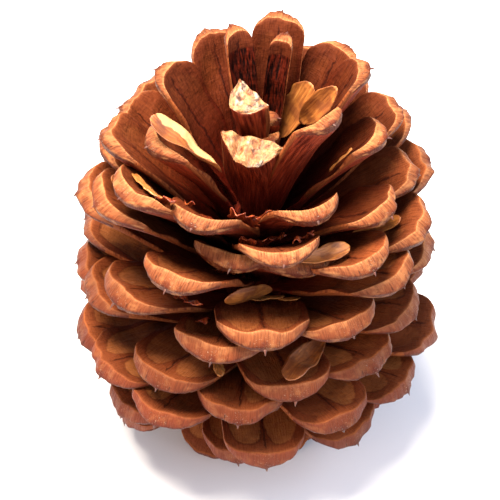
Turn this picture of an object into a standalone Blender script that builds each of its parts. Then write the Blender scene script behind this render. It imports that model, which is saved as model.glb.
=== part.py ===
"""An open pine cone that stands on its base, with loose papery seed wings between its scales.

The cone is one solid: a tapered axis with woody scales fused to it along a golden-angle spiral.
Each scale is a claw that widens to a broad rim, with a thick outer end that has a keel and a
small prickle. Metres, +Z up, the cone's base on z = 0 and its best side towards -Y.
"""

import math
import random

import bmesh
import bpy
from mathutils import Vector

MM = 0.001

# The spiral: scale 0 is the lowest, and each next one is a golden angle further round.
SCALE_COUNT = 98
DIVERGENCE_DEG = 137.37
FIRST_AZIMUTH_DEG = 57.0
LEAN_DEG = 2.6
TURN_SPREAD_DEG = 2.0
TWIST_SPREAD_DEG = 5.0
WIDTH_SPREAD = 0.05

# The foot of the axis, from the middle of the whole cone's box. Millimetres.
FOOT = Vector((-2.769, 0.162, 0.0))

# Profiles, at even steps from the lowest scale to the highest. Millimetres.
TIP_RADIUS = (26.0, 39.5, 38.0, 38.0, 31.5, 10.0)
TIP_HEIGHT = (-1.0, 22.0, 40.0, 65.0, 79.0, 100.0)
ROOT_HEIGHT = (10.0, 16.0, 27.0, 41.0, 52.0, 66.0)
HALF_WIDTH = (7.6, 8.8, 9.3, 9.0, 7.4, 4.0)
ARCH = (2.4, 2.2, 1.6, 1.2, 0.8, 0.4)
CUP = (0.3, 0.3, 0.5, 1.2, 1.6, 1.2)
KEEL_DROP = (3.4, 3.4, 3.4, 3.1, 2.6, 2.2)

# The lowest scales bend down to one level and carry the cone. Millimetres.
BASE_SCALES = 7
BASE_RADIUS = 20.0
BASE_HEIGHT = -1.5
GROUND_SIDE = 120.0

# Where single scales stray from the spiral: turned in degrees, moved out and up in millimetres.
NUDGES = {
    10: (5, -3, 1),
    15: (-8, 0, 4),
    18: (-3, 0, 0),
    20: (0, 0, 9),
    23: (-9, 0, 4),
    28: (3, 0, 2),
    29: (0, 2, -3),
    31: (2, 0, 3),
    33: (0, 0, 10),
    34: (-6, 0, 5),
    36: (6, 0, 2),
    41: (0, 0, 3),
    42: (-3, 0, 0),
    44: (5, 0, 6),
    47: (-2, 0, 5),
    49: (3, 0, 3),
    50: (0, 0, -4),
    54: (0, 0, 8),
    57: (5, 0, 6),
    60: (4, -9, 1),
    62: (0, 0, 8),
    63: (0, 0, -4),
    65: (2, -8, 0),
    67: (0, -2, 3),
    68: (0, 0, -3),
    70: (-8, 0, 10),
    71: (0, -2, -4),
    73: (3, 0, 2),
    75: (0, 0, 8),
    76: (0, -1, -3),
    78: (0, 0, 2),
    80: (5, 2, -2),
    81: (-2, 0, 0),
    82: (-6, 0, 0),
    83: (0, 0, 5),
    85: (-5, 2, 3),
    86: (-5, -8, 5),
    87: (7, 2, 2),
    88: (-17, 3, 1),
    89: (0, 0, 6),
    90: (-8, 3, 4),
    91: (-3, -10, 6),
    92: (0, 5, 3),
    93: (-28, 2, 2),
    94: (7, -7, -12),
    95: (15, 2, -1),
    96: (0, -7, -14),
    97: (4, -7, -13),
}
# Scales much narrower than their neighbours, with the share of their width.
NARROW = {91: 0.75, 93: 0.6, 94: 0.6, 95: 0.5, 96: 0.6, 97: 0.6}
# Scales whose ends have snapped off, with the share of their length that is left.
BROKEN = {86: 0.88, 91: 0.88}

# One scale. Millimetres, apart from the shares.
CLAW_SHARE = 0.30
SHOULDER_SHARE = 0.60
CUP_START = 0.77
CLAW_END = 0.62
RIM_BULGE_SHARE = 0.8
RIM_ROUNDNESS = 0.98
CLAW_THICKNESS = 3.2
MIDDLE_THICKNESS = 1.7
EDGE_THICKNESS = 0.9
KEEL_REACH = 0.9
KEEL_CORNER_REACH = 0.2
KEEL_CORNER_DROP = 0.7
KEEL_THICKNESS = 0.9
KEEL_CORNER_THICKNESS = 0.5
UNDERCUT = 1.5
PRICKLE_REACH = 0.7
BREAK_THICKNESS = 4.2
BREAK_EDGE_SHARE = 0.2
BREAK_MIDDLE_SHARE = 0.6
BREAK_SLANT = 1.5

# The axis. Millimetres.
AXIS_RADIUS = (6.5, 7.5, 7.5, 7.0, 6.0, 3.5)
AXIS_BOTTOM = -1.0
AXIS_TOP = 72.0
AXIS_SIDES = 10
ROOT_RADIUS = 2.0

# Columns run across a scale from edge to edge, and rows from its root to its rim.
FEW_COLUMNS = (-1.0, 0.0, 1.0)
SOME_COLUMNS = (-1.0, -0.6, 0.0, 0.6, 1.0)
RIM_COLUMNS = (-1.0, -0.88, -0.5, 0.0, 0.5, 0.88, 1.0)
TOP_ROWS = ((0.0, FEW_COLUMNS), (0.42, FEW_COLUMNS), (0.82, SOME_COLUMNS), (1.0, RIM_COLUMNS))
BOTTOM_ROWS = ((0.55, FEW_COLUMNS), (0.0, FEW_COLUMNS))

# Seed wings: the scale each lies on, how far along it, millimetres sideways, turn, tilt and size.
WINGS = (
    (39, 0.80, 4.0, -40, -14, 1.0),
    (52, 0.55, -2.0, -50, 60, 0.8),
    (68, 0.80, -5.0, 80, 42, 0.7),
    (42, 0.70, 3.0, 10, 28, 0.7),
    (63, 0.75, -1.0, 10, 14, 0.7),
    (92, 0.50, 6.0, 0, 20, 0.9),
    (92, 0.70, -1.0, -20, 56, 0.9),
    (83, 0.90, 3.0, -30, -28, 1.1),
    (62, 0.85, -4.0, -10, -56, 0.5),
    (23, 0.45, 5.0, -10, 0, 0.6),
)
WING_LENGTH = 17.0
WING_WIDTH = 7.0
WING_BROADEST = 6.06
WING_THICKNESS = 0.6
WING_SIDES = 16
WING_GAP = 0.35
WING_TAPER = 0.28

CONE_COLOR = (0.36, 0.15, 0.06, 1.0)
WING_COLOR = (0.72, 0.42, 0.16, 1.0)
CONE_ROUGHNESS = 0.6
WING_ROUGHNESS = 0.5


def along(values, share):
    """A smooth curve through evenly spaced values, at a share from 0 to 1 of its length."""
    last = len(values) - 1
    start = min(int(share * last), last - 1)
    f = share * last - start
    b, c = values[start], values[start + 1]
    a = values[start - 1] if start else 2 * b - c
    d = values[start + 2] if start + 2 <= last else 2 * c - b
    return b + 0.5 * f * (c - a + f * (2 * a - 5 * b + 4 * c - d + f * (3 * (b - c) + d - a)))


def stand(point):
    """A point round an upright axis, moved to the foot and leaned a little to +X. Millimetres to metres."""
    return (point + FOOT + Vector((point.z * math.tan(math.radians(LEAN_DEG)), 0, 0))) * MM


class Scale:
    """One scale's place and size, in millimetres, and the points of its two faces."""

    def __init__(self, index):
        share = index / (SCALE_COUNT - 1)
        chance = random.Random(index)
        self.azimuth = FIRST_AZIMUTH_DEG + DIVERGENCE_DEG * index
        self.azimuth += chance.uniform(-TURN_SPREAD_DEG, TURN_SPREAD_DEG)
        self.twist = math.radians(chance.uniform(-TWIST_SPREAD_DEG, TWIST_SPREAD_DEG))
        self.half_width = along(HALF_WIDTH, share) * chance.uniform(1 - WIDTH_SPREAD, 1 + WIDTH_SPREAD)
        self.cup = along(CUP, share)
        self.arch = along(ARCH, share)
        self.keel_drop = along(KEEL_DROP, share)
        self.root = Vector((ROOT_RADIUS, along(ROOT_HEIGHT, share)))
        self.half_width *= NARROW.get(index, 1.0)
        turn, out, up = NUDGES.get(index, (0, 0, 0))
        self.azimuth += turn
        keel = Vector((along(TIP_RADIUS, share) + out, along(TIP_HEIGHT, share) + up))
        if index < BASE_SCALES:
            keel = Vector((BASE_RADIUS, BASE_HEIGHT))
        chord = (keel - self.root).normalized()
        self.tip = keel + Vector((-chord.y, chord.x)) * self.keel_drop
        self.broken = index in BROKEN
        if self.broken:
            self.tip = self.root + (self.tip - self.root) * BROKEN[index]
        self.length = (self.tip - self.root).length

    def centre(self, reach):
        """The middle line of the upper face, with its direction outwards and its normal."""
        chord = self.tip - self.root
        side = Vector((-chord.y, chord.x)).normalized()
        rise = 4 * self.arch * reach * (1 - reach)
        point = self.root + chord * reach + side * rise
        outwards = (chord + side * 4 * self.arch * (1 - 2 * reach)).normalized()
        return point, outwards, Vector((-outwards.y, outwards.x))

    def width(self, reach):
        """Half the scale's width at this share of its length."""
        grown = min(1.0, reach / SHOULDER_SHARE)
        eased = grown * grown * (3 - 2 * grown)
        return self.half_width * (CLAW_SHARE + (1 - CLAW_SHARE) * eased)

    def face(self, sideways, row, forward=0.0, below=0.0):
        """A point of the upper face, sideways in millimetres, then moved forward and below."""
        point, outwards, normal = self.centre(row)
        across = sideways / self.width(row)
        rise = self.cup * across * across * min(1.0, row / CUP_START)
        point = point + outwards * forward + normal * (rise - below)
        sideways += self.twist * rise
        angle = math.radians(self.azimuth)
        out = Vector((math.sin(angle), -math.cos(angle), 0))
        tangent = Vector((math.cos(angle), math.sin(angle), 0))
        return stand(out * point.x + tangent * sideways + Vector((0, 0, point.y)))

    def place(self, across, reach, forward=0.0, below=0.0):
        """A point of the scale: across -1 to 1, reach 0 to 1, then moved forward and below."""
        bulge = RIM_BULGE_SHARE * self.half_width
        bulge *= 1 - math.sqrt(1 - (RIM_ROUNDNESS * across) ** 2)
        if self.broken:
            bulge = BREAK_SLANT * across
        row = reach * (1 - (bulge + KEEL_REACH) / self.length)
        return self.face(across * self.width(row), row, forward, below)

    def thickness(self, across, reach):
        """How far the lower face lies below the upper one."""
        thinned = min(1.0, reach / CLAW_END)
        middle = CLAW_THICKNESS + (MIDDLE_THICKNESS - CLAW_THICKNESS) * thinned
        return middle + (EDGE_THICKNESS - middle) * across * across

    def keel(self, across, under=0.0):
        """A point of the keel, the outermost line of the thick end."""
        inner = 1 - across * across
        if self.broken:
            depth = BREAK_THICKNESS * (BREAK_EDGE_SHARE + inner)
            depth *= BREAK_MIDDLE_SHARE + (1 - BREAK_MIDDLE_SHARE) * under
            return self.place(across, 1.0, 0.0, depth)
        drop = KEEL_CORNER_DROP + (self.keel_drop - KEEL_CORNER_DROP) * inner
        reach = KEEL_CORNER_REACH + (KEEL_REACH - KEEL_CORNER_REACH) * inner
        if across == 0:
            reach += PRICKLE_REACH
        thick = KEEL_CORNER_THICKNESS + (KEEL_THICKNESS - KEEL_CORNER_THICKNESS) * inner
        return self.place(across, 1.0, reach * (1 - UNDERCUT * under), drop + thick * under)


def scale_faces(scale):
    """The closed surface of one scale as points and faces."""
    points = []

    def row(columns, made):
        points.extend(made)
        return list(zip(columns, range(len(points) - len(made), len(points))))

    rows = [row(columns, [scale.place(u, t) for u in columns]) for t, columns in TOP_ROWS]
    rows.append(row(RIM_COLUMNS, [scale.keel(u) for u in RIM_COLUMNS]))
    rows.append(row(SOME_COLUMNS, [scale.keel(u, 1.0) for u in SOME_COLUMNS]))
    for t, columns in BOTTOM_ROWS:
        rows.append(row(columns, [scale.place(u, t, 0.0, scale.thickness(u, t)) for u in columns]))
    faces = []
    for near, far in zip(rows, rows[1:]):
        faces += bridge(near, far)
    faces.append(tuple(i for _, i in rows[0][::-1] + rows[-1]))
    for edge in (0, -1):
        faces += side_strip([r[edge][1] for r in rows])
    return points, faces


def bridge(near, far):
    """Triangles between two rows of (place across, point), which may differ in count."""
    faces = []
    i = j = 0
    while i < len(near) - 1 or j < len(far) - 1:
        step_near = i < len(near) - 1
        if step_near and j < len(far) - 1:
            step_near = near[i + 1][0] + near[i][0] <= far[j + 1][0] + far[j][0]
        if step_near:
            faces.append((near[i][1], near[i + 1][1], far[j][1]))
            i += 1
        else:
            faces.append((near[i][1], far[j + 1][1], far[j][1]))
            j += 1
    return faces


def side_strip(edge):
    """The narrow side of a scale, as triangles from its upper edge across to its lower one."""
    root_top, first, shoulder, corner, keel, under, middle, root = edge
    return [
        (corner, keel, under),
        (shoulder, corner, under),
        (shoulder, under, middle),
        (first, shoulder, middle),
        (first, middle, root),
        (root_top, first, root),
    ]


def axis_faces():
    """The woody axis that the scales grow from, as rings of points with a cap at each end."""
    points, faces = [], []
    last = len(AXIS_RADIUS) - 1
    for ring in range(last + 1):
        height = AXIS_BOTTOM + (AXIS_TOP - AXIS_BOTTOM) * ring / last
        for side in range(AXIS_SIDES):
            angle = 2 * math.pi * side / AXIS_SIDES
            out = Vector((math.cos(angle), math.sin(angle), 0)) * AXIS_RADIUS[ring]
            points.append(stand(out + Vector((0, 0, height))))
    for ring in range(last):
        for side in range(AXIS_SIDES):
            near = ring * AXIS_SIDES
            step = (side + 1) % AXIS_SIDES
            faces.append((near + side, near + step, near + AXIS_SIDES + step, near + AXIS_SIDES + side))
    faces.append(tuple(reversed(range(AXIS_SIDES))))
    faces.append(tuple(range(last * AXIS_SIDES, (last + 1) * AXIS_SIDES)))
    return points, faces


def wing_outline(side, size):
    """One point of a wing's edge, along it and across it, narrower at one end. Millimetres."""
    angle = 2 * math.pi * side / WING_SIDES
    narrowing = math.sqrt(1 - WING_TAPER + WING_TAPER * math.cos(angle))
    along_wing = WING_LENGTH / 2 * math.cos(angle)
    across_wing = WING_WIDTH / 2 * math.sin(angle) * narrowing
    return along_wing * size, across_wing * size


def wing_faces(scale, row, sideways, turn_deg, tilt_deg, size):
    """A seed wing that lies on the upper face of its scale, or leans up from it on one long edge."""
    turn, tilt = math.radians(turn_deg), math.radians(tilt_deg)
    middle = WING_GAP + WING_BROADEST / 2 * size * abs(math.sin(tilt))
    points, faces = [], []

    def point(along_wing, across_wing, above):
        flat = across_wing * math.cos(tilt) - above * math.sin(tilt)
        lift = middle + across_wing * math.sin(tilt) + above * math.cos(tilt)
        x = sideways + flat * math.cos(turn) + along_wing * math.sin(turn)
        y = flat * -math.sin(turn) + along_wing * math.cos(turn)
        points.append(scale.face(x, row + y / scale.length, 0.0, -lift))
        return len(points) - 1

    lifts = (0.0, WING_THICKNESS)
    rings = []
    for share in (0.5, 1.0):
        ring = [wing_outline(i, size * share) for i in range(WING_SIDES)]
        rings.append([[point(a, b, lift) for a, b in ring] for lift in lifts])
    centre = [point(0, 0, lift) for lift in lifts]
    for i in range(WING_SIDES):
        j = (i + 1) % WING_SIDES
        for level in (0, 1):
            inner, outer = rings[0][level], rings[1][level]
            faces.append((centre[level], inner[i], inner[j]))
            faces.append((inner[i], outer[i], outer[j]))
            faces.append((inner[i], outer[j], inner[j]))
        low, high = rings[1]
        faces.append((low[i], low[j], high[j]))
        faces.append((low[i], high[j], high[i]))
    return points, faces


def mesh_object(name, points, faces, collection):
    """A closed mesh of triangles that all face outwards."""
    mesh = bpy.data.meshes.new(name)
    mesh.from_pydata([tuple(p) for p in points], [], faces)
    shape = bmesh.new()
    shape.from_mesh(mesh)
    bmesh.ops.triangulate(shape, faces=shape.faces)
    bmesh.ops.recalc_face_normals(shape, faces=shape.faces)
    shape.to_mesh(mesh)
    shape.free()
    obj = bpy.data.objects.new(name, mesh)
    collection.objects.link(obj)
    return obj


def apply_modifiers(obj):
    """Makes the object's modifiers part of its mesh."""
    bpy.context.view_layer.update()
    graph = bpy.context.evaluated_depsgraph_get()
    obj.data = bpy.data.meshes.new_from_object(obj.evaluated_get(graph))
    obj.modifiers.clear()


def fuse(obj, collection):
    """Joins every object of the collection to this one as one solid, and removes them."""
    union = obj.modifiers.new("scales", "BOOLEAN")
    union.operation = "UNION"
    union.solver = "MANIFOLD"
    union.operand_type = "COLLECTION"
    union.collection = collection
    apply_modifiers(obj)
    for piece in list(collection.objects):
        bpy.data.objects.remove(piece)
    bpy.data.collections.remove(collection)


def flatten_base(obj):
    """Wears the lowest scale ends flat, where the cone stands on them."""
    half = GROUND_SIDE * MM / 2
    corners = [(x, y, z) for z in (-2 * half, 0) for y in (-half, half) for x in (-half, half)]
    sides = [(0, 1, 3, 2), (4, 5, 7, 6), (0, 1, 5, 4), (2, 3, 7, 6), (0, 2, 6, 4), (1, 3, 7, 5)]
    ground = mesh_object("ground", [Vector(c) for c in corners], sides, bpy.context.scene.collection)
    cut = obj.modifiers.new("base", "BOOLEAN")
    cut.operation = "DIFFERENCE"
    cut.solver = "MANIFOLD"
    cut.object = ground
    apply_modifiers(obj)
    bpy.data.objects.remove(ground)


def largest_body(obj):
    """Drops loose scraps, and the inner faces of hollows that the join sealed."""
    shape = bmesh.new()
    shape.from_mesh(obj.data)
    unseen = set(shape.verts)
    islands = []
    while unseen:
        waiting = [unseen.pop()]
        island = set(waiting)
        while waiting:
            for edge in waiting.pop().link_edges:
                for vert in edge.verts:
                    if vert in unseen:
                        unseen.remove(vert)
                        island.add(vert)
                        waiting.append(vert)
        islands.append(island)
    keep = max(islands, key=len)
    bmesh.ops.delete(shape, geom=[v for v in shape.verts if v not in keep], context="VERTS")
    shape.to_mesh(obj.data)
    shape.free()


def cone():
    """The whole cone: the axis with every scale fused to it."""
    scales = bpy.data.collections.new("scales")
    bpy.context.scene.collection.children.link(scales)
    for index in range(SCALE_COUNT):
        mesh_object(f"scale_{index:02d}", *scale_faces(Scale(index)), scales)
    obj = mesh_object("cone", *axis_faces(), bpy.context.scene.collection)
    fuse(obj, scales)
    flatten_base(obj)
    largest_body(obj)
    obj.data.materials.append(wood("cone_scales", CONE_COLOR, CONE_ROUGHNESS))


def seed_wings():
    """The loose seed wings, each a thin plate of its own."""
    for number, (index, *place) in enumerate(WINGS, 1):
        made = wing_faces(Scale(index), *place)
        obj = mesh_object(f"seed_wing_{number:02d}", *made, bpy.context.scene.collection)
        obj.data.materials.append(wood(f"paper_{number:02d}", WING_COLOR, WING_ROUGHNESS))


def wood(name, color, roughness):
    """A plain material of one colour."""
    material = bpy.data.materials.new(name)
    material.use_nodes = True
    shader = material.node_tree.nodes["Principled BSDF"]
    shader.inputs["Base Color"].default_value = color
    shader.inputs["Roughness"].default_value = roughness
    return material


def main():
    for obj in list(bpy.data.objects):
        bpy.data.objects.remove(obj)
    cone()
    seed_wings()


main()
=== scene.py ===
"""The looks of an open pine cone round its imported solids: fine scales, seed wings, floor, light, camera.

The cone's solid is replaced by bands of finely made scales that follow the same spiral and sizes,
and each seed wing by a thin curled sheet. Metres, +Z up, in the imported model's frame.
"""

import math
import random

import bpy
import numpy as np
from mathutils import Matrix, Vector


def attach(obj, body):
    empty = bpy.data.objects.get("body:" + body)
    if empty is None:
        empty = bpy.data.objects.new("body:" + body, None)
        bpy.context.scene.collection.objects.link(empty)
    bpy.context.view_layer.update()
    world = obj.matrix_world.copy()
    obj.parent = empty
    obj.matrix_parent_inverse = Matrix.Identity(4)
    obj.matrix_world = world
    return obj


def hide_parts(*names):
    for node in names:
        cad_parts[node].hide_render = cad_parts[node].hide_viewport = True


MM = 0.001

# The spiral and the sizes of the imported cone: millimetres and degrees.
SCALE_COUNT = 98
DIVERGENCE_DEG = 137.37
FIRST_AZIMUTH_DEG = 57.0
LEAN_DEG = 2.6
TURN_SPREAD_DEG = 2.0
TWIST_SPREAD_DEG = 5.0
WIDTH_SPREAD = 0.05
FOOT = np.array((-2.769, 0.162, 0.0))
TIP_RADIUS = (26.0, 39.5, 38.0, 38.0, 31.5, 10.0)
TIP_HEIGHT = (-1.0, 22.0, 40.0, 65.0, 79.0, 100.0)
ROOT_HEIGHT = (10.0, 16.0, 27.0, 41.0, 52.0, 66.0)
HALF_WIDTH = (7.6, 8.8, 9.3, 9.0, 7.4, 4.0)
ARCH = (2.4, 2.2, 1.6, 1.2, 0.8, 0.4)
CUP = (0.3, 0.3, 0.5, 1.2, 1.6, 1.2)
KEEL_DROP = (3.4, 3.4, 3.4, 3.1, 2.6, 2.2)
BASE_SCALES = 7
BASE_RADIUS = 20.0
BASE_HEIGHT = -1.5
NUDGES = {
    10: (5, -3, 1),
    15: (-8, 0, 4),
    18: (-3, 0, 0),
    20: (0, 0, 9),
    23: (-9, 0, 4),
    28: (3, 0, 2),
    29: (0, 2, -3),
    31: (2, 0, 3),
    33: (0, 0, 10),
    34: (-6, 0, 5),
    36: (6, 0, 2),
    41: (0, 0, 3),
    42: (-3, 0, 0),
    44: (5, 0, 6),
    47: (-2, 0, 5),
    49: (3, 0, 3),
    50: (0, 0, -4),
    54: (0, 0, 8),
    57: (5, 0, 6),
    60: (4, -9, 1),
    62: (0, 0, 8),
    63: (0, 0, -4),
    65: (2, -8, 0),
    67: (0, -2, 3),
    68: (0, 0, -3),
    70: (-8, 0, 10),
    71: (0, -2, -4),
    73: (3, 0, 2),
    75: (0, 0, 8),
    76: (0, -1, -3),
    78: (0, 0, 2),
    80: (5, 2, -2),
    81: (-2, 0, 0),
    82: (-6, 0, 0),
    83: (0, 0, 5),
    85: (-5, 2, 3),
    86: (-5, -8, 5),
    87: (7, 2, 2),
    88: (-17, 3, 1),
    89: (0, 0, 6),
    90: (-8, 3, 4),
    91: (-3, -10, 6),
    92: (0, 5, 3),
    93: (-28, 2, 2),
    94: (7, -7, -12),
    95: (15, 2, -1),
    96: (0, -7, -14),
    97: (4, -7, -13),
}
NARROW = {91: 0.75, 93: 0.6, 94: 0.6, 95: 0.5, 96: 0.6, 97: 0.6}
BROKEN = {86: 0.88, 91: 0.88}
STUBS = (93, 95)
CLAW_SHARE = 0.30
SHOULDER_SHARE = 0.60
CUP_START = 0.77
CLAW_END = 0.62
RIM_BULGE_SHARE = 0.8
RIM_ROUNDNESS = 0.98
CLAW_THICKNESS = 3.2
MIDDLE_THICKNESS = 1.7
EDGE_THICKNESS = 0.9
KEEL_REACH = 0.9
KEEL_CORNER_REACH = 0.2
KEEL_CORNER_DROP = 0.7
KEEL_THICKNESS = 0.9
KEEL_CORNER_THICKNESS = 0.5
UNDERCUT = 1.5
BREAK_THICKNESS = 4.2
BREAK_EDGE_SHARE = 0.2
BREAK_SLANT = 1.5
BREAK_FILL = 1.2
AXIS_RADIUS = (6.5, 7.5, 7.5, 7.0, 6.0, 3.5)
AXIS_TOP = 72.0
ROOT_RADIUS = 2.0
WINGS = (
    (39, 0.80, 4.0, -40, -14, 1.0),
    (52, 0.55, -2.0, -50, 60, 0.8),
    (68, 0.80, -5.0, 80, 42, 0.7),
    (42, 0.70, 3.0, 10, 28, 0.7),
    (63, 0.75, -1.0, 10, 14, 0.7),
    (92, 0.50, 6.0, 0, 20, 0.9),
    (92, 0.70, -1.0, -20, 56, 0.9),
    (83, 0.90, 3.0, -30, -28, 1.1),
    (62, 0.85, -4.0, -10, -56, 0.5),
    (23, 0.45, 5.0, -10, 0, 0.6),
)
WING_LENGTH = 17.0
WING_WIDTH = 7.0
WING_BROADEST = 6.06
WING_TAPER = 0.28
WING_GAP = 0.35
WING_SHEET = 0.22
WING_FLOOR = 0.2
DULL_WINGS = (1, 8)
# The wing that gets a painted highlight strip along one edge.
HIGHLIGHT_STRIP_WING = 8

# Torn bracts: the scale each lies on, how far along it, sideways, turn, length and width.
SCRAPS = (
    (81, 0.45, -3.5, 20, 6.5, 4.5),
    (81, 0.42, -1.0, -40, 5.0, 3.0),
    (73, 0.62, -5.0, 10, 4.5, 2.6),
    (73, 0.80, 4.0, 30, 2.6, 1.4),
    (78, 0.80, -5.0, 60, 2.6, 1.4),
    (70, 0.55, 4.0, 50, 6.0, 3.4),
    (70, 0.72, 5.5, -30, 4.0, 1.8),
    (44, 0.72, -5.0, 40, 3.2, 1.8),
    (57, 0.55, 3.0, 70, 5.0, 2.4),
    (60, 0.55, -4.0, 30, 5.0, 2.6),
    (78, 0.72, 6.0, -30, 7.5, 4.5),
    (73, 0.50, 0.0, 70, 6.5, 4.5),
    (73, 0.70, 6.9, 20, 3.2, 2.0),
    (70, 0.90, 6.0, 60, 6.0, 2.8),
    (49, 0.72, 8.0, 75, 9.0, 1.6),
)

# Shreds of seed wings, placed in the same way.
SHREDS = (
    (52, 0.40, 1.0, 80, 9.0, 3.4),
    (52, 0.45, 6.5, 50, 5.0, 2.6),
    (70, 0.86, -0.5, 95, 10.0, 4.6),
    (36, 0.74, 8.5, 35, 7.0, 2.4),
    (84, 0.75, -3.0, 10, 7.0, 2.2),
)

# How finely a scale is made: points across it, and rows along its face, its end and its back.
COLUMNS = 29
FACE_ROWS = 16
ROW_CROWDING = 1.4
BANDS = (0.1, 0.25, 0.45, 0.65, 0.85, 1.0, 1.15, 1.5, 2.0)
PIECES = 5

# The finer shape of a scale, in millimetres or as shares.
RIM_SQUARENESS = 2.4
EDGE_BULGE = 0.3
UMBO_HEIGHT = 0.22
UMBO_WIDTH = 1.3
CREASE_WIDTH = 0.5
CREASE_DEPTH = 0.3
IMPRINT_DEPTH = 0.28
IMPRINT_START = 0.22
IMPRINT_MARGIN = 2.6
IMPRINT_MIDDLE = 0.46
IMPRINT_HALF_WIDTH = 0.42
PRICKLE_LENGTH = (0.5, 1.25)
PRICKLE_RADIUS = 0.27
PRICKLE_TIP_RADIUS = 0.03

# Waves that roughen the shape: the height and the length of each, in millimetres.
RIM_WAVES = (0.24, 6.0)
RIM_NICKS = (0.09, 2.6)
BREAK_WAVES = (0.45, 3.6)
BREAK_CHIPS = (0.28, 2.4)
FACE_WAVES = (0.35, 10.0)
END_RIDGES = (0.09, 1.3)
BACK_GROOVES = (0.16, 1.7)
AXIS_GROOVES = (0.35, 3.0)

# What the materials read: how far apart the scales' numbers lie, and the length of an end's band.
NUMBER_STEP = 17.3
BAND_LENGTH = 3.0

# The view of the photograph, in metres, degrees and millimetres of lens.
CAMERA_TARGET = (-0.0017, 0.0, 0.0477)
CAMERA_ELEVATION_DEG = 45
CAMERA_DISTANCE = 0.48
CAMERA_LENS = 160.1
FLOOR_HALF = 3.0


def along(values, share):
    """A smooth curve through evenly spaced values, at a share from 0 to 1 of its length."""
    last = len(values) - 1
    start = min(int(share * last), last - 1)
    f = share * last - start
    b, c = values[start], values[start + 1]
    a = values[start - 1] if start else 2 * b - c
    d = values[start + 2] if start + 2 <= last else 2 * c - b
    return b + 0.5 * f * (c - a + f * (2 * a - 5 * b + 4 * c - d + f * (3 * (b - c) + d - a)))


def stand(points):
    """Points round an upright axis, moved to the foot and leaned to +X. Millimetres to metres."""
    lean = points[..., 2:] * np.array((math.tan(math.radians(LEAN_DEG)), 0, 0))
    return (points + FOOT + lean) * MM


def smooth(low, high, value):
    """0 below low, 1 above high, and eased between them."""
    share = np.clip((value - low) / (high - low), 0, 1)
    return share * share * (3 - 2 * share)


def ripple(places, wavelength, seed, waves=7):
    """Smooth random waves, mostly from -1 to 1, over places given by their coordinates."""
    chance = np.random.default_rng(seed)
    total = 0
    for _ in range(waves):
        direction = chance.normal(size=len(places))
        direction /= np.linalg.norm(direction)
        length = wavelength * chance.uniform(0.7, 1.4)
        turn = sum(p * d for p, d in zip(places, direction))
        total = total + np.sin(turn * (2 * math.pi / length) + chance.uniform(0, 2 * math.pi))
    return total / math.sqrt(waves)


def rough(waves, places, seed):
    """Random waves of a given height and length over places."""
    height, length = waves
    return height * ripple(places, length, seed)


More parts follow.
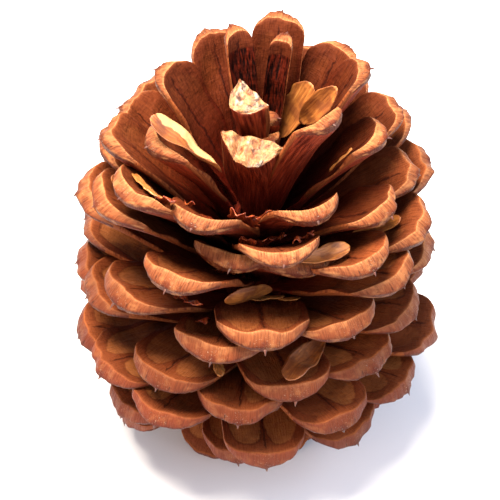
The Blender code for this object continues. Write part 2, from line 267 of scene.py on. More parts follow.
class Scale:
    """One scale's place and size, in millimetres, and the points of its surface."""

    def __init__(self, index):
        share = index / (SCALE_COUNT - 1)
        chance = random.Random(index)
        self.index = index
        self.azimuth = FIRST_AZIMUTH_DEG + DIVERGENCE_DEG * index
        self.azimuth += chance.uniform(-TURN_SPREAD_DEG, TURN_SPREAD_DEG)
        self.twist = math.radians(chance.uniform(-TWIST_SPREAD_DEG, TWIST_SPREAD_DEG))
        self.half_width = along(HALF_WIDTH, share) * chance.uniform(1 - WIDTH_SPREAD, 1 + WIDTH_SPREAD)
        self.cup = along(CUP, share)
        self.arch = along(ARCH, share)
        self.keel_drop = along(KEEL_DROP, share)
        self.root = np.array((ROOT_RADIUS, along(ROOT_HEIGHT, share)))
        self.half_width *= NARROW.get(index, 1.0)
        turn, out, up = NUDGES.get(index, (0, 0, 0))
        self.azimuth += turn
        keel = np.array((along(TIP_RADIUS, share) + out, along(TIP_HEIGHT, share) + up))
        if index < BASE_SCALES:
            keel = np.array((BASE_RADIUS, BASE_HEIGHT))
        chord = keel - self.root
        chord /= np.linalg.norm(chord)
        self.tip = keel + np.array((-chord[1], chord[0])) * self.keel_drop
        self.broken = index in BROKEN
        if self.broken:
            self.tip = self.root + (self.tip - self.root) * BROKEN[index]
        self.length = np.linalg.norm(self.tip - self.root)
        self.tone = chance.uniform(0, 1)

    def centre(self, reach):
        """The middle line of the upper face, with its direction outwards and its normal."""
        chord = self.tip - self.root
        side = np.array((-chord[1], chord[0])) / self.length
        rise = 4 * self.arch * reach * (1 - reach)
        slope = 4 * self.arch * (1 - 2 * reach)
        point = self.root + np.multiply.outer(reach, chord) + np.multiply.outer(rise, side)
        outwards = chord + np.multiply.outer(slope, side)
        outwards /= np.linalg.norm(outwards, axis=-1, keepdims=True)
        return point, outwards, np.stack((-outwards[..., 1], outwards[..., 0]), -1)

    def width(self, reach):
        """Half the scale's width at these shares of its length."""
        return self.half_width * (CLAW_SHARE + (1 - CLAW_SHARE) * smooth(0, SHOULDER_SHARE, reach))

    def face(self, sideways, row, forward, below):
        """Points of the upper face, sideways in millimetres, then moved forward and below."""
        point, outwards, normal = self.centre(row)
        across = sideways / self.width(row)
        rise = self.cup * across * across * np.minimum(1, row / CUP_START)
        point = point + outwards * np.asarray(forward)[..., None] + normal * (rise - below)[..., None]
        sideways = sideways + self.twist * rise
        angle = math.radians(self.azimuth)
        x = math.sin(angle) * point[..., 0] + math.cos(angle) * sideways
        y = -math.cos(angle) * point[..., 0] + math.sin(angle) * sideways
        return stand(np.stack((x, y, point[..., 1]), -1))

    def row(self, across, reach):
        """The share of the length at which the curved line of this reach crosses this place."""
        rounded = (1 - np.abs(RIM_ROUNDNESS * across) ** RIM_SQUARENESS) ** (1 / RIM_SQUARENESS)
        bulge = RIM_BULGE_SHARE * self.half_width * (1 - rounded)
        place = (across * self.half_width,)
        bulge = bulge + rough(RIM_WAVES, place, self.index)
        bulge = bulge + rough(RIM_NICKS, place, 200 + self.index)
        if self.broken:
            bulge = BREAK_SLANT * across + rough(BREAK_WAVES, place, self.index)
        return reach * (1 - (bulge + KEEL_REACH) / self.length)

    def thickness(self, across, reach):
        """How far the back lies below the face."""
        thinned = np.minimum(1, reach / CLAW_END)
        middle = CLAW_THICKNESS + (MIDDLE_THICKNESS - CLAW_THICKNESS) * thinned
        return middle + (EDGE_THICKNESS - middle) * across * across


def scale_points(scale):
    """A scale's points as rows of columns, with what its materials read at each."""
    even = np.linspace(-1, 1, COLUMNS)
    across = (even + np.sin(even * math.pi / 2)) / 2
    inner = 1 - across * across
    reaches = 1 - (1 - np.linspace(0, 1, FACE_ROWS)) ** ROW_CROWDING
    u, t = np.meshgrid(across, reaches)
    row = scale.row(u, t)
    sideways = u * scale.width(row)
    down = row * scale.length
    imprint = imprint_field(scale, sideways, down)
    relief = face_relief(scale, u, t, sideways, down, imprint)
    face = scale.face(sideways, row, 0 * u, -relief)
    end = end_points(scale, inner, row[-1], sideways[-1], relief[-1])
    back = back_points(scale, inner, *(values[-2::-1] for values in (u, t, row, sideways, down)))

    end_rows = (len(BANDS), 1)
    bands = np.concatenate((0 * reaches, BANDS, 2 + 0 * reaches[1:]))[:, None] + 0 * across
    across_mm = np.concatenate((sideways, np.tile(sideways[-1], end_rows), sideways[-2::-1]))
    along_mm = np.concatenate((down, np.tile(down[-1], end_rows), down[-2::-1]))
    no_imprint = np.full((len(BANDS) + FACE_ROWS - 1, COLUMNS), -9.0)
    reads = {
        "sideways": across_mm,
        "path": along_mm + bands * BAND_LENGTH,
        "band": bands,
        "imprint": np.concatenate((imprint, no_imprint)),
        "to_rim": scale.row(u[-1], 1.0) * scale.length - along_mm,
        "reach": along_mm / scale.length,
        "tone": 0 * bands + scale.tone,
        "height": 0 * bands + scale.index / (SCALE_COUNT - 1),
        "number": 0 * bands + scale.index * NUMBER_STEP,
        "stub": 0 * bands + (scale.index in STUBS),
    }
    return np.concatenate((face, end, back)), reads


def imprint_field(scale, sideways, down):
    """Where the two seeds lay on a scale: above 0 inside an imprint, in millimetres from its edge."""
    start = IMPRINT_START * (scale.length - KEEL_REACH)
    end = scale.length - KEEL_REACH - IMPRINT_MARGIN
    half_width = IMPRINT_HALF_WIDTH * scale.half_width
    a = (np.abs(sideways) - IMPRINT_MIDDLE * scale.half_width) / half_width
    b = (down - (start + end) / 2) / ((end - start) / 2)
    b = b + 0.10 * a
    return (1 - (np.abs(a) ** 2.4 + np.abs(b) ** 4) ** 0.42) * half_width


def face_relief(scale, u, t, sideways, down, imprint):
    """How far the upper face stands above its plain shape: waves, imprints and the crease."""
    rim = scale.length - KEEL_REACH
    crease = np.exp(-((sideways / CREASE_WIDTH) ** 2)) * (1 - smooth(rim - 3.2, rim - 1.0, down))
    relief = rough(FACE_WAVES, (sideways, down), 100 + scale.index) * smooth(0.3, 0.7, t)
    relief = relief - IMPRINT_DEPTH * smooth(-0.1, 0.5, imprint) - CREASE_DEPTH * crease
    if scale.broken:
        relief = relief + BREAK_FILL * scale.cup * (1 - u * u) * smooth(0.45, 1.0, t)
    return relief


def end_profile(scale, inner):
    """How far the outer end drops and reaches out, and how thick its keel is."""
    drop = KEEL_CORNER_DROP + (scale.keel_drop - KEEL_CORNER_DROP) * inner
    reach = KEEL_CORNER_REACH + (KEEL_REACH - KEEL_CORNER_REACH) * inner
    thick = KEEL_CORNER_THICKNESS + (KEEL_THICKNESS - KEEL_CORNER_THICKNESS) * inner
    return drop, reach, thick


def end_points(scale, inner, row, sideways, relief):
    """The points of the outer end, band by band from the rim to the keel's lower edge."""
    drop, reach, thick = end_profile(scale, inner)
    points = []
    for band in BANDS:
        if scale.broken:
            forward = rough(BREAK_CHIPS, (sideways, 0 * sideways + 5 * band), scale.index)
            below = BREAK_THICKNESS * (BREAK_EDGE_SHARE + inner) * band / 2
        elif band <= 1:
            forward = reach * (1 - (1 - band) ** 1.8)
            below = drop * band**1.1
        else:
            forward = reach * (1 - UNDERCUT * (band - 1))
            below = drop + thick * (band - 1)
        if not scale.broken:
            ridges = rough(END_RIDGES, (sideways, 0 * sideways + band), 300 + scale.index)
            umbo = np.exp(-((sideways / UMBO_WIDTH) ** 2) - ((band - 0.95) / 0.3) ** 2)
            forward = forward + ridges * band + UMBO_HEIGHT * umbo
        points.append(scale.face(sideways, row, forward, below - relief * (1 - band / 2)))
    return np.array(points)


def back_points(scale, inner, u, t, row, sideways, down):
    """The points of the back, row by row from the keel to the root."""
    drop, reach, thick = end_profile(scale, inner)
    full = drop + thick
    pulled = reach * (1 - UNDERCUT)
    if scale.broken:
        full = BREAK_THICKNESS * (BREAK_EDGE_SHARE + inner)
        pulled = 0 * reach
    thin = scale.thickness(u, t)
    wedge = np.clip((t - 0.5) / 0.5, 0, 1) ** 1.3
    grooves = rough(BACK_GROOVES, (sideways, down * 0.12), 500 + scale.index)
    below = thin + (full - thin) * wedge + grooves * inner
    return scale.face(sideways, row, pulled * wedge, below)


def scale_faces():
    """The faces of every scale, which share one layout: corners and the material of each."""
    rows = FACE_ROWS + len(BANDS) + FACE_ROWS - 1
    last = FACE_ROWS + len(BANDS) - 1
    corners, looks = [], []

    def face(look, *points):
        corners.append(points)
        looks.append(look)

    for i in range(rows):
        after = (i + 1) % rows
        look = FACE if i < FACE_ROWS - 1 else END if i < last else BACK
        for j in range(COLUMNS - 1):
            face(look, i * COLUMNS + j, after * COLUMNS + j, after * COLUMNS + j + 1, i * COLUMNS + j + 1)
    for side, column in enumerate((0, COLUMNS - 1)):
        middle = rows * COLUMNS + side * FACE_ROWS
        turn = 1 if column else -1

        def strip(look, *points):
            face(look, *points[::turn])

        for i in range(FACE_ROWS - 1):
            look = EDGE if i > FACE_ROWS // 3 else BACK
            top, bottom = i * COLUMNS + column, (rows - 1 - i) * COLUMNS + column
            strip(look, top, top + COLUMNS, middle + i + 1, middle + i)
            strip(look, middle + i, middle + i + 1, bottom - COLUMNS, bottom)
        strip(BACK, column, middle, (rows - 1) * COLUMNS + column)
        for i in range(FACE_ROWS - 1, last):
            strip(EDGE, i * COLUMNS + column, (i + 1) * COLUMNS + column, middle + FACE_ROWS - 1)
    return corners, looks


FACE, END, BACK, EDGE, BREAK, PRICKLE = range(6)


def with_edges(points, reads):
    """The points and readings as flat lists, with a bulging middle line added down each side."""
    rows = FACE_ROWS + len(BANDS) + FACE_ROWS - 1
    lines, picked = [], []
    for column, inner in ((0, 1), (COLUMNS - 1, COLUMNS - 2)):
        top = points[:FACE_ROWS, column]
        bottom = points[rows - FACE_ROWS :][::-1][:, column]
        outwards = top - points[:FACE_ROWS, inner]
        outwards /= np.linalg.norm(outwards, axis=-1, keepdims=True)
        lines.append((top + bottom) / 2 + outwards * EDGE_BULGE * MM)
        picked.append(column)
    flat = np.concatenate([points.reshape(-1, 3), *lines])
    read = {}
    for name, values in reads.items():
        sides = [values[:FACE_ROWS, column] for column in picked]
        read[name] = np.concatenate([values.ravel(), *sides])
    return flat, read


def prickle(scale):
    """The small curved thorn at the middle of a scale's end, with what its material reads."""
    rings, sides = 5, 7
    chance = random.Random(1000 + scale.index)
    length = chance.uniform(*PRICKLE_LENGTH)
    spin = chance.uniform(-0.35, 0.35)
    points = []
    for ring in range(rings):
        share = ring / (rings - 1)
        radius = PRICKLE_RADIUS * (1 - share) ** 0.8 + PRICKLE_TIP_RADIUS
        forward = KEEL_REACH + length * 0.4 * share
        below = scale.keel_drop + 0.1 + length * (0.45 * share + 0.5 * share * share)
        for side in range(sides):
            angle = 2 * math.pi * side / sides
            x = radius * math.cos(angle) * 1.3 + spin * length * share
            lift = radius * math.sin(angle)
            row = scale.row(np.array(0.0), 1.0)
            points.append(scale.face(np.array(x), row, forward + 0.5 * lift, below - 0.6 * lift))
    points.append(points[-1] * 0 + np.mean(points[-sides:], axis=0))
    faces = []
    for ring in range(rings - 1):
        for side in range(sides):
            near, step = ring * sides, (side + 1) % sides
            faces.append((near + side, near + step, near + sides + step, near + sides + side))
    tip = len(points) - 1
    for side in range(sides):
        faces.append((tip - sides + side, tip - sides + (side + 1) % sides, tip))
    faces.append(tuple(range(sides))[::-1])
    return np.array(points), faces


def mesh_piece(name, points, faces, looks, materials, reads):
    """A smooth-shaded mesh object that rides on the cone, with the readings as attributes."""
    mesh = bpy.data.meshes.new(name)
    points[:, 2] = np.maximum(points[:, 2], 0)
    mesh.from_pydata(points.tolist(), [], faces)
    mesh.polygons.foreach_set("material_index", looks)
    mesh.polygons.foreach_set("use_smooth", [True] * len(faces))
    for label, values in reads.items():
        mesh.attributes.new(label, "FLOAT", "POINT").data.foreach_set("value", values)
    for material in materials:
        mesh.materials.append(material)
    mesh.update()
    obj = bpy.data.objects.new(name, mesh)
    bpy.context.scene.collection.objects.link(obj)
    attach(obj, "root")
    return obj


def add_scales(materials):
    """The scales in a few pieces from the base up."""
    layout, layout_looks = scale_faces()
    for piece in range(PIECES):
        points, faces, looks, reads = [], [], [], []
        first = SCALE_COUNT * piece // PIECES
        past = SCALE_COUNT * (piece + 1) // PIECES
        count = 0
        for index in range(first, past):
            scale = Scale(index)
            made, read = with_edges(*scale_points(scale))
            points.append(made)
            reads.append(read)
            faces += [tuple(count + i for i in corners) for corners in layout]
            looks += [BREAK if scale.broken and look == END else look for look in layout_looks]
            count += len(made)
            if scale.broken:
                continue
            thorn, thorn_faces = prickle(scale)
            points.append(thorn)
            reads.append({name: np.full(len(thorn), values[0]) for name, values in read.items()})
            faces += [tuple(count + i for i in corners) for corners in thorn_faces]
            looks += [PRICKLE] * len(thorn_faces)
            count += len(thorn)
        joined = {name: np.concatenate([read[name] for read in reads]) for name in reads[0]}
        obj = mesh_piece(f"scales_{piece + 1}", np.concatenate(points), faces, looks, materials, joined)
        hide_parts("cone")


def add_axis(material):
    """The woody axis between the scales, ridged, from the stalk's scar to its tip."""
    rings, sides = 40, 48
    turns = np.arange(sides) * 2 * math.pi / sides
    share, angle = np.meshgrid(np.linspace(0, 1, rings), turns, indexing="ij")
    radius = np.array([along(AXIS_RADIUS, s) for s in share[:, 0]])[:, None] + 0 * angle
    height = AXIS_TOP * share
    x, y = np.cos(angle), np.sin(angle)
    radius = radius + rough(AXIS_GROOVES, (x * 7, y * 7, height * 0.3), 71)
    radius = radius * np.sqrt(1 - 0.95 * share**10)
    points = stand(np.stack((x * radius, y * radius, height), -1)).reshape(-1, 3)
    faces = []
    for ring in range(rings - 1):
        for side in range(sides):
            near, step = ring * sides, (side + 1) % sides
            faces.append((near + side, near + step, near + sides + step, near + sides + side))
    faces.append(tuple(range(sides))[::-1])
    faces.append(tuple(range((rings - 1) * sides, rings * sides)))
    reads = {"sideways": (angle * 7).ravel(), "path": height.ravel()}
    obj = mesh_piece("axis", points, faces, [0] * len(faces), [material], reads)
    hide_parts("cone")


def add_wings(material):
    """The loose papery seed wings, each a thin curled sheet where its solid lies."""
    for number, (index, row, sideways, turn_deg, tilt_deg, size) in enumerate(WINGS, 1):
        scale = Scale(index)
        turn, tilt = math.radians(turn_deg), math.radians(tilt_deg)
        middle = WING_GAP + WING_BROADEST / 2 * size * abs(math.sin(tilt))
        rows, columns = 26, 13
        p, q = np.meshgrid(np.linspace(-1, 1, rows), np.linspace(-1, 1, columns), indexing="ij")
        bend = np.sqrt(np.clip(1 - (0.995 * p) ** 2, 0, 1))
        narrowing = np.sqrt(1 - WING_TAPER + WING_TAPER * p)
        a = WING_LENGTH / 2 * size * p
        b = WING_WIDTH / 2 * size * q * bend * narrowing
        b = b * (1 + 0.06 * ripple((a,), 5.0, number))
        curl = 0.3 + 0.4 * ripple((a, b), 9.0, 40 + number) + 0.9 * (q * bend) ** 2 * size
        sheets = []
        for thick in (0.0, WING_SHEET):
            above = curl + thick
            flat = b * math.cos(tilt) - above * math.sin(tilt)
            lift = np.maximum(middle + b * math.sin(tilt) + above * math.cos(tilt), WING_FLOOR + thick)
            x = sideways + flat * math.cos(turn) + a * math.sin(turn)
            y = -flat * math.sin(turn) + a * math.cos(turn)
            sheets.append(scale.face(x, row + y / scale.length, 0 * x, -lift))
        points = np.concatenate([sheet.reshape(-1, 3) for sheet in sheets])
        faces = sheet_faces(rows, columns)
        reads = {"sideways": np.tile(b.ravel(), 2), "path": np.tile(a.ravel(), 2)}
        reads["number"] = np.full(len(points), number * 14.8)
        reads["tone"] = np.full(len(points), 0.0 if number in DULL_WINGS else 0.5 + number % 3 * 0.25)
        # Painted highlight: on one wing, a pale strip along one edge.
        reads["pale"] = np.tile(-b.ravel(), 2) * (number == HIGHLIGHT_STRIP_WING)
        obj = mesh_piece(f"papery_wing_{number:02d}", points, faces, [0] * len(faces), [material], reads)
        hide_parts(f"seed_wing_{number:02d}")


def add_scraps(material):
    """Torn bracts and shreds of wings, each a small crumpled sheet on the face below it."""
    pieces, faces, count = [], [], 0
    reads = {"sideways": [], "path": [], "number": [], "paper": []}
    rows, columns = 12, 8
    layout = sheet_faces(rows, columns)
    for number, (index, row, sideways, turn_deg, length, width) in enumerate(SCRAPS + SHREDS):
        scale = Scale(index)
        turn = math.radians(turn_deg)
        p, q = np.meshgrid(np.linspace(-1, 1, rows), np.linspace(-1, 1, columns), indexing="ij")
        a = length / 2 * p
        paper = number >= len(SCRAPS)
        crumple = 0.3 if paper else 1.0
        b = width / 2 * q * (1 - 0.55 * p * p) * (1 + 0.35 * crumple * ripple((a,), 1.8, 60 + number))
        a = a + 0.35 * crumple * ripple((b,), 1.6, 80 + number) * np.abs(p)
        rise = 0.9 * crumple * (1 + p) / 2 * length / 4
        lift = 0.35 + rise + 0.5 * crumple * ripple((a, b), 3.0, 70 + number)
        x = sideways + b * math.cos(turn) + a * math.sin(turn)
        y = -b * math.sin(turn) + a * math.cos(turn)
        level = np.clip(lift, 0.1, None)
        for thick in (0.0, 0.2):
            sheet = scale.face(x, row + y / scale.length, 0 * x, -level - thick)
            pieces.append(sheet.reshape(-1, 3))
            reads["sideways"].append(b.ravel())
            reads["path"].append(a.ravel())
            reads["number"].append(np.full(b.size, 7.0 * number))
            reads["paper"].append(np.full(b.size, float(paper)))
        faces += [tuple(count + i for i in corners) for corners in layout]
        count += 2 * rows * columns
    joined = {name: np.concatenate(values) for name, values in reads.items()}
    obj = mesh_piece("torn_bracts", np.concatenate(pieces), faces, [0] * len(faces), [material], joined)
    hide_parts("cone")


def sheet_faces(rows, columns):
    """The faces of a closed thin sheet: its lower side, its upper side and its edge."""
    faces = []
    above = rows * columns
    for i in range(rows - 1):
        for j in range(columns - 1):
            corner = i * columns + j
            quad = (corner, corner + 1, corner + columns + 1, corner + columns)
            faces.append(quad)
            faces.append(tuple(above + k for k in quad[::-1]))
    loop = list(range(columns))
    loop += [i * columns + columns - 1 for i in range(1, rows)]
    loop += [(rows - 1) * columns + j for j in range(columns - 2, -1, -1)]
    loop += [i * columns for i in range(rows - 2, 0, -1)]
    for near, far in zip(loop, loop[1:] + loop[:1]):
        faces.append((far, near, above + near, above + far))
    return faces


class Graph:
    """A material's nodes, made one call at a time."""

    def __init__(self, name):
        self.material = bpy.data.materials.new(name)
        self.material.use_nodes = True
        self.tree = self.material.node_tree
        self.shader = self.tree.nodes["Principled BSDF"]

    def put(self, socket, value):
        if isinstance(value, bpy.types.NodeSocket):
            self.tree.links.new(value, socket)
        else:
            socket.default_value = value

    def node(self, kind, inputs, output=0, **settings):
        made = self.tree.nodes.new("ShaderNode" + kind)
        for name, value in settings.items():
            setattr(made, name, value)
        for key, value in inputs.items():
            self.put(made.inputs[key], value)
        return made.outputs[output]

    def read(self, name):
        """A value that the mesh holds at each point."""
        return self.node("Attribute", {}, "Fac", attribute_name=name)

    def math(self, operation, a, b=0.0):
        return self.node("Math", {0: a, 1: b}, operation=operation)

    def times(self, a, b):
        return self.math("MULTIPLY", a, b)

    def vector(self, x, y, z=0.0):
        return self.node("CombineXYZ", {"X": x, "Y": y, "Z": z})

    def noise(self, vector, scale, detail=3.0, roughness=0.55):
        inputs = {"Vector": vector, "Scale": scale, "Detail": detail, "Roughness": roughness}
        return self.node("TexNoise", inputs)

    def between(self, value, low, high, at_low=0.0, at_high=1.0):
        """The value from low to high, eased to the range from at_low to at_high."""
        inputs = {"Value": value, "From Min": low, "From Max": high, "To Min": at_low, "To Max": at_high}
        return self.node("MapRange", inputs, interpolation_type="SMOOTHSTEP")

    def ramp(self, value, stops):
        """Colours at rising places from 0 to 1."""
        made = self.tree.nodes.new("ShaderNodeValToRGB")
        elements = made.color_ramp.elements
        while len(elements) < len(stops):
            elements.new(0.5)
        for element, (place, color) in zip(elements, stops):
            element.position = place
            element.color = (*color, 1)
        self.put(made.inputs[0], value)
        return made.outputs[0]

    def mix(self, factor, a, b, blend="MIX"):
        made = self.tree.nodes.new("ShaderNodeMix")
        made.data_type = "RGBA"
        made.blend_type = blend
        self.put(made.inputs[0], factor)
        for socket, value in ((made.inputs[6], a), (made.inputs[7], b)):
            self.put(socket, (*value, 1) if isinstance(value, tuple) else value)
        return made.outputs[2]

    def finish(self, color, roughness, bumps, **values):
        """Joins colour, roughness and bumps, given as (height, millimetres), to the shader."""
        self.put(self.shader.inputs["Base Color"], color)
        self.put(self.shader.inputs["Roughness"], roughness)
        for name, value in values.items():
            self.put(self.shader.inputs[name.replace("_", " ")], value)
        normal = None
        for height, depth in bumps:
            inputs = {"Height": height, "Distance": depth * MM, "Strength": 1.0}
            if normal:
                inputs["Normal"] = normal
            normal = self.node("Bump", inputs)
        self.put(self.shader.inputs["Normal"], normal)
        return self.material


def face_woods(g, reach):
    """The wood of the upper face from root to rim: the body's, and the paler one of the imprints. Both are
    darkest at the root, partly the wood's redder colour and partly painted shade of the cone's deep
    interior.
    """
    body = g.ramp(
        reach,
        [
            (0.15, (0.075, 0.0024, 0.0008)),
            (0.45, (0.076, 0.0054, 0.0017)),
            (0.75, (0.102, 0.0190, 0.0060)),
            (0.95, (0.142, 0.0370, 0.0125)),
        ],
    )
    tan = g.ramp(
        reach,
        [
            (0.15, (0.078, 0.0028, 0.0010)),
            (0.42, (0.110, 0.0220, 0.0066)),
            (0.72, (0.225, 0.0740, 0.0225)),
            (0.95, (0.255, 0.0920, 0.0300)),
        ],
    )
    return body, tan


def scale_face_material():
    """The upper face: dark red at its root, partly painted shade, brown at its rim, with two paler seed
    imprints, and painted shade darkening the faces of the upper scales.
    """
    g = Graph("scale_face")
    side, path, number = g.read("sideways"), g.read("path"), g.read("number")
    imprint, to_rim, tone, reach = g.read("imprint"), g.read("to_rim"), g.read("tone"), g.read("reach")
    height = g.read("height")
    low_down = g.between(height, 0.35, 0.75, 1.0, 0.25)
    fibre_place = g.vector(g.times(side, 3.2), g.times(path, 0.35), number)
    wrinkle_place = g.vector(g.times(side, 0.7), g.times(path, 4.5), number)
    lines = g.noise(fibre_place, 1.0, 4.0)
    wrinkles = g.noise(wrinkle_place, 1.0, 3.0)
    place = g.vector(side, path, number)
    cloud = g.noise(place, 0.22, 3.0)
    wave = g.noise(place, 0.6, 2.0)
    body, tan = face_woods(g, reach)
    edge = g.math("ADD", imprint, g.times(g.math("SUBTRACT", wave, 0.5), 0.7))
    lobe = g.noise(g.vector(g.math("SIGN", side), 0.0, number), 0.37, 0.0)
    shown = g.times(g.between(lobe, 0.34, 0.58, 0.2, 1.0), low_down)
    color = g.mix(g.times(g.between(edge, -0.10, 0.25, 0.0, 0.9), shown), body, tan)
    streaked = g.times(g.between(lines, 0.44, 0.70), g.between(height, 0.3, 0.8, 0.28, 0.6))
    color = g.mix(streaked, color, (0.040, 0.0062, 0.0022))
    furrows = g.times(g.between(wrinkles, 0.50, 0.66, 0.0, 0.35), g.between(reach, 0.35, 0.7))
    color = g.mix(furrows, color, (0.048, 0.0075, 0.0026))
    # The dark outline round each imprint is partly its darker border and partly painted shadow of its
    # raised edge.
    worn = g.times(shown, g.between(cloud, 0.38, 0.60, 0.15, 1.0))
    outline = g.times(g.between(g.math("ABSOLUTE", edge), 0.02, 0.26, 0.60, 0.0), worn)
    color = g.mix(outline, color, (0.026, 0.0040, 0.0014))
    # Painted shade: a dark line along the middle crease of the face.
    wander = g.times(g.math("SUBTRACT", wave, 0.5), 1.6)
    crease = g.between(g.math("ABSOLUTE", g.math("ADD", side, wander)), 0.06, 0.34, 0.9, 0.0)
    color = g.mix(g.times(crease, g.between(to_rim, 0.9, 2.6)), color, (0.022, 0.0040, 0.0020))
    # Painted highlight: a pale line on the face just inside the rim.
    color = g.mix(g.between(to_rim, 0.05, 0.5, 0.45, 0.0), color, (0.27, 0.090, 0.030))
    color = g.mix(g.between(cloud, 0.40, 0.7, 0.0, 0.35), color, (0.055, 0.0090, 0.0030))
    stalk = g.times(g.read("stub"), g.between(reach, 0.87, 0.89, 1.0, 0.0))
    streaks = g.ramp(lines, [(0.42, (0.006, 0.0008, 0.0005)), (0.66, (0.130, 0.0150, 0.0040))])
    color = g.mix(stalk, color, streaks)
    tones = g.ramp(tone, [(0.0, (0.80, 0.76, 0.76)), (1.0, (1.12, 1.10, 1.06))])
    color = g.mix(1.0, color, tones, "MULTIPLY")
    # Painted shade: the faces of the upper scales are darkened towards the top of the cone.
    top_faces_painted_shade = g.ramp(height, [(0.70, (1.0, 1.0, 1.0)), (0.88, (0.56, 0.46, 0.46))])
    color = g.mix(1.0, color, top_faces_painted_shade, "MULTIPLY")
    roughness = g.between(lines, 0.3, 0.7, 0.50, 0.68)
    bumps = [(lines, 0.30), (wave, 0.30), (wrinkles, 0.09)]
    return g.finish(color, roughness, bumps, Specular_IOR_Level=0.06)


def end_wood(g, band, height):
    """The wood of the outer end from its rim to below its keel, redder low down on the cone, with a
    painted highlight at the rim, painted shade below the keel, and brighter higher up the cone as painted
    light.
    """
    # Painted light: the higher scales' ends are much brighter and creamier, with a painted highlight at
    # the rim and painted shade below the keel.
    high = g.ramp(
        g.times(band, 0.5),
        [
            (0.0, (0.370, 0.1650, 0.0680)),
            (0.1, (0.235, 0.0820, 0.0300)),
            (0.4, (0.160, 0.0450, 0.0160)),
            (0.6, (0.062, 0.0105, 0.0038)),
        ],
    )
    # The lower scales' ends: redder, and darker as painted shade, with painted shade below the keel.
    low = g.ramp(
        g.times(band, 0.5),
        [
            (0.0, (0.160, 0.0400, 0.0140)),
            (0.1, (0.114, 0.0240, 0.0086)),
            (0.4, (0.100, 0.0185, 0.0072)),
            (0.6, (0.048, 0.0072, 0.0032)),
        ],
    )
    return g.mix(g.between(height, 0.2, 0.75), low, high)


def scale_end_material():
    """The thick outer end: golden at the rim as a painted highlight, redder and darker down to the keel as
    painted shade, finely ridged.
    """
    g = Graph("scale_end")
    side, band, number = g.read("sideways"), g.read("band"), g.read("number")
    tone, height = g.read("tone"), g.read("height")
    ridge_place = g.vector(g.times(side, 4.2), g.times(band, 0.9), number)
    ridges = g.noise(ridge_place, 1.0, 4.0)
    cloud = g.noise(g.vector(side, g.times(band, 3.0), number), 0.45, 3.0)
    color = end_wood(g, band, height)
    furrowed = g.times(g.between(ridges, 0.42, 0.66), g.between(height, 0.3, 0.85, 0.32, 0.72))
    color = g.mix(furrowed, color, (0.055, 0.0095, 0.0032))
    # Pale cream patches, more of them on the higher scales: partly bleached wood, partly painted
    # highlight.
    highlight_by_height = g.between(height, 0.2, 0.8, 0.25, 1.0)
    bleach_and_highlight = g.times(g.between(cloud, 0.48, 0.68, 0.0, 0.6), highlight_by_height)
    color = g.mix(bleach_and_highlight, color, (0.34, 0.150, 0.060))
    below_middle = g.times(g.math("SUBTRACT", band, 0.9), 4.0)
    away = g.math("ADD", g.math("POWER", side, 2.0), g.math("POWER", below_middle, 2.0))
    away = g.math("SQRT", away)
    color = g.mix(g.between(away, 0.6, 1.5, 0.7, 0.0), color, (0.062, 0.0100, 0.0050))
    specks = g.noise(g.vector(side, g.times(band, 4.0), number), 2.6, 4.0, 0.7)
    near = g.between(away, 1.2, 4.5, 1.0, 0.0)
    resin = g.times(g.between(specks, 0.60, 0.66), near)
    color = g.mix(g.times(resin, 0.55), color, (0.50, 0.38, 0.30))
    slit_side = g.math("ABSOLUTE", g.math("SUBTRACT", g.math("ABSOLUTE", side), 2.9))
    slit_band = g.math("ABSOLUTE", g.math("SUBTRACT", band, 0.72))
    slit_sides = g.between(slit_side, 0.05, 0.25, 0.8, 0.0)
    slits = g.times(slit_sides, g.between(slit_band, 0.05, 0.2, 1.0, 0.0))
    color = g.mix(g.times(slits, g.between(tone, 0.3, 0.6)), color, (0.030, 0.0080, 0.0045))
    tones = g.ramp(tone, [(0.0, (1.10, 1.07, 1.02)), (1.0, (0.82, 0.78, 0.78))])
    color = g.mix(1.0, color, tones, "MULTIPLY")
    roughness = g.between(ridges, 0.3, 0.7, 0.40, 0.60)
    return g.finish(color, roughness, [(ridges, 0.40), (resin, 0.15)], Specular_IOR_Level=0.12)


def scale_back_material():
    """The back of a scale: dark red-brown with strong lengthwise fibres."""
    g = Graph("scale_back")
    side, path, number = g.read("sideways"), g.read("path"), g.read("number")
    fibre_place = g.vector(g.times(side, 3.0), g.times(path, 0.16), number)
    fibres = g.noise(fibre_place, 1.0, 5.0, 0.65)
    cloud = g.noise(g.vector(side, path, number), 0.2, 2.0)
    color = g.ramp(
        fibres,
        [
            (0.30, (0.012, 0.0014, 0.0006)),
            (0.47, (0.060, 0.0068, 0.0018)),
            (0.62, (0.160, 0.0230, 0.0055)),
            (0.75, (0.230, 0.0600, 0.0180)),
        ],
    )
    color = g.mix(g.between(cloud, 0.4, 0.7, 0.0, 0.5), color, (0.150, 0.0170, 0.0048))
    fresh = g.between(g.read("height"), 0.80, 0.87, 0.0, 0.55)
    red = g.ramp(fibres, [(0.40, (0.070, 0.0045, 0.0014)), (0.62, (0.270, 0.0330, 0.0080))])
    color = g.mix(fresh, color, red)
    # Painted shade: the back darkens towards the root, deep among the scales.
    dark = g.between(g.read("reach"), 0.2, 0.75, 0.75, 0.0)
    color = g.mix(dark, color, (0.062, 0.0030, 0.0010))
    roughness = g.between(fibres, 0.3, 0.7, 0.38, 0.66)
    return g.finish(color, roughness, [(fibres, 0.5)], Specular_IOR_Level=0.2)


def scale_edge_material():
    """The thin sides of a scale."""
    g = Graph("scale_edge")
    grain = g.noise(g.vector(g.read("sideways"), g.read("path"), g.read("number")), 1.4, 4.0)
    worn = g.ramp(grain, [(0.35, (0.080, 0.0140, 0.0042)), (0.65, (0.240, 0.0680, 0.0200))])
    # Painted shade: the sides darken towards the root, deep among the scales.
    color = g.mix(g.between(g.read("reach"), 0.35, 0.75, 0.85, 0.0), worn, (0.040, 0.0070, 0.0025))
    return g.finish(color, 0.55, [(grain, 0.2)], Specular_IOR_Level=0.12)


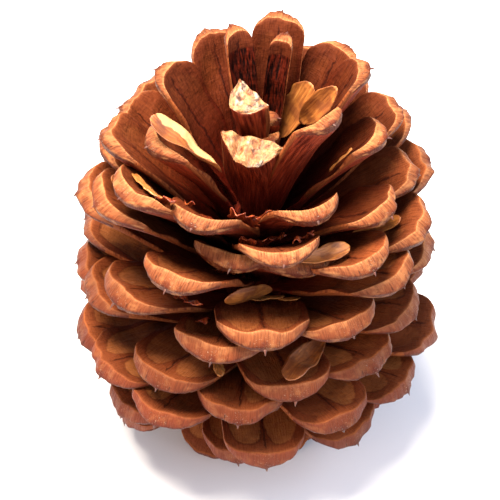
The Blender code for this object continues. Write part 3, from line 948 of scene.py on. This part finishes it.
def break_material():
    """A snapped scale end: cream wood, stained and crusted with resin on one side."""
    g = Graph("broken_wood")
    side, band, number = g.read("sideways"), g.read("band"), g.read("number")
    place = g.vector(side, g.times(band, 2.2), number)
    pores = g.noise(place, 1.1, 4.0, 0.6)
    crust = g.noise(place, 0.45, 3.0)
    wood = [(0.36, (0.115, 0.030, 0.008)), (0.50, (0.250, 0.105, 0.036)), (0.68, (0.420, 0.225, 0.098))]
    crusted = g.between(number, 87 * NUMBER_STEP, 90 * NUMBER_STEP, 0.56, 0.47)
    stained = g.between(g.math("SUBTRACT", crust, crusted), 0.0, 0.08, 0.0, 0.9)
    stain = g.ramp(pores, [(0.42, (0.030, 0.008, 0.005)), (0.60, (0.34, 0.26, 0.195))])
    return g.finish(g.mix(stained, g.ramp(pores, wood), stain), 0.5, [(pores, 0.6), (crust, 0.5)])


def prickle_material():
    """The thorns at the scale ends."""
    g = Graph("prickle")
    grain = g.noise(g.vector(g.read("sideways"), g.read("path"), g.read("number")), 2.0)
    color = g.ramp(grain, [(0.3, (0.030, 0.006, 0.004)), (0.7, (0.090, 0.020, 0.010))])
    return g.finish(color, 0.5, [(grain, 0.1)])


def axis_material():
    """The axis: nearly black red-brown, fibrous."""
    g = Graph("axis_wood")
    place = g.vector(g.read("sideways"), g.times(g.read("path"), 0.2))
    fibres = g.noise(place, 1.2, 4.0)
    color = g.ramp(fibres, [(0.35, (0.028, 0.0018, 0.0008)), (0.65, (0.110, 0.0100, 0.0030))])
    return g.finish(color, 0.8, [(fibres, 0.6)], Specular_IOR_Level=0.1)


def wing_material():
    """The seed wings: thin golden paper with fine veins down its length."""
    g = Graph("wing_paper")
    side, path = g.read("sideways"), g.read("path")
    number = g.read("number")
    vein_place = g.vector(g.times(side, 2.6), g.times(path, 0.25), number)
    veins = g.noise(vein_place, 1.0, 4.0)
    stain = g.noise(g.vector(side, path, number), 0.3, 3.0)
    paper = [(0.35, (0.190, 0.055, 0.011)), (0.60, (0.345, 0.122, 0.026)), (0.75, (0.470, 0.205, 0.052))]
    color = g.mix(g.between(stain, 0.42, 0.62, 0.0, 0.75), g.ramp(veins, paper), (0.135, 0.036, 0.011))
    tones = [(0.0, (0.74, 0.64, 0.58)), (0.5, (0.95, 0.92, 0.90)), (1.0, (1.25, 1.22, 1.15))]
    color = g.mix(1.0, color, g.ramp(g.read("tone"), tones), "MULTIPLY")
    # Painted highlight: a ragged pale strip along one edge of one wing.
    highlight_strip = g.math("ADD", g.read("pale"), g.times(g.math("SUBTRACT", stain, 0.5), 4.0))
    color = g.mix(g.between(highlight_strip, 1.2, 1.6, 0.0, 0.9), color, (0.44, 0.26, 0.11))
    return g.finish(color, 0.5, [(veins, 0.25), (stain, 0.3)])


def scrap_material():
    """The torn bracts, thin and dark red, and the shreds of wings, golden."""
    g = Graph("torn_bract")
    side, path = g.read("sideways"), g.read("path")
    place = g.vector(g.times(side, 2.5), g.times(path, 0.4), g.read("number"))
    fibres = g.noise(place, 1.2, 4.0)
    red = [(0.35, (0.060, 0.006, 0.002)), (0.55, (0.230, 0.030, 0.0065)), (0.72, (0.420, 0.110, 0.022))]
    gold = [(0.35, (0.220, 0.070, 0.014)), (0.60, (0.400, 0.160, 0.040)), (0.75, (0.520, 0.260, 0.080))]
    color = g.mix(g.read("paper"), g.ramp(fibres, red), g.ramp(fibres, gold))
    return g.finish(color, 0.4, [(fibres, 0.3)])


def add_floor():
    """A plain pale floor that fills the view."""
    mesh = bpy.data.meshes.new("floor")
    corners = [(x * FLOOR_HALF, y * FLOOR_HALF, 0) for x, y in ((-1, -1), (1, -1), (1, 1), (-1, 1))]
    mesh.from_pydata(corners, [], [(0, 1, 2, 3)])
    floor = bpy.data.objects.new("floor", mesh)
    bpy.context.scene.collection.objects.link(floor)
    g = Graph("floor_paint")
    grain = g.noise(g.node("TexCoord", {}, "Object"), 40.0)
    mesh.materials.append(g.finish((0.60, 0.62, 0.69, 1), 0.9, [(grain, 0.05)]))


def add_light(name, place, target, size, power, color):
    data = bpy.data.lights.new(name, "AREA")
    data.shape = "DISK"
    data.size = size
    data.energy = power
    data.color = color
    light = bpy.data.objects.new(name, data)
    light.location = place
    light.rotation_euler = (Vector(target) - Vector(place)).to_track_quat("-Z", "Y").to_euler()
    bpy.context.scene.collection.objects.link(light)


def add_lights():
    """A warm main light from the upper left, a cool fill from the right, and a pale sky."""
    middle = (0.0, 0.0, 0.05)
    add_light("key", (-0.10, -0.02, 0.58), (0.0, 0.0, 0.06), 0.30, 17.5, (1.0, 0.87, 0.68))
    add_light("fill", (0.7, -0.2, 0.5), middle, 0.9, 8.5, (0.90, 0.92, 1.0))
    add_light("front", (-0.6, -0.6, 0.35), middle, 0.5, 6.5, (1.0, 0.70, 0.48))
    world = bpy.data.worlds.new("sky")
    world.use_nodes = True
    background = world.node_tree.nodes["Background"]
    background.inputs["Color"].default_value = (0.88, 0.93, 1.0, 1)
    background.inputs["Strength"].default_value = 0.9
    bpy.context.scene.world = world


def add_camera():
    """The photograph's view: from above at a slant, with a long lens."""
    elevation = math.radians(CAMERA_ELEVATION_DEG)
    target = Vector(CAMERA_TARGET)
    data = bpy.data.cameras.new("camera")
    data.sensor_width = 36.0
    data.lens = CAMERA_LENS
    data.clip_start = 0.01
    camera = bpy.data.objects.new("camera", data)
    back = Vector((0, -math.cos(elevation), math.sin(elevation)))
    camera.location = target + back * CAMERA_DISTANCE
    camera.rotation_euler = (math.pi / 2 - elevation, 0, 0)
    bpy.context.scene.collection.objects.link(camera)
    bpy.context.scene.camera = camera


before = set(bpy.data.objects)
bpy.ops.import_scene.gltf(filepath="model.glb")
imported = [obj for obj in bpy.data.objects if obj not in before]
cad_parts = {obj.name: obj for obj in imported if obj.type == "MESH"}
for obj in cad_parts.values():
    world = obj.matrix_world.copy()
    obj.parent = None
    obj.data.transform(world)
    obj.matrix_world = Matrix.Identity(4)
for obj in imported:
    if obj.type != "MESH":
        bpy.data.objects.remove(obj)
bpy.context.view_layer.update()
scale_materials = [
    scale_face_material(),
    scale_end_material(),
    scale_back_material(),
    scale_edge_material(),
    break_material(),
    prickle_material(),
]
add_scales(scale_materials)
add_axis(axis_material())
add_wings(wing_material())
add_scraps(scrap_material())
add_floor()
add_lights()
add_camera()
bpy.context.scene.view_settings.view_transform = "Standard"
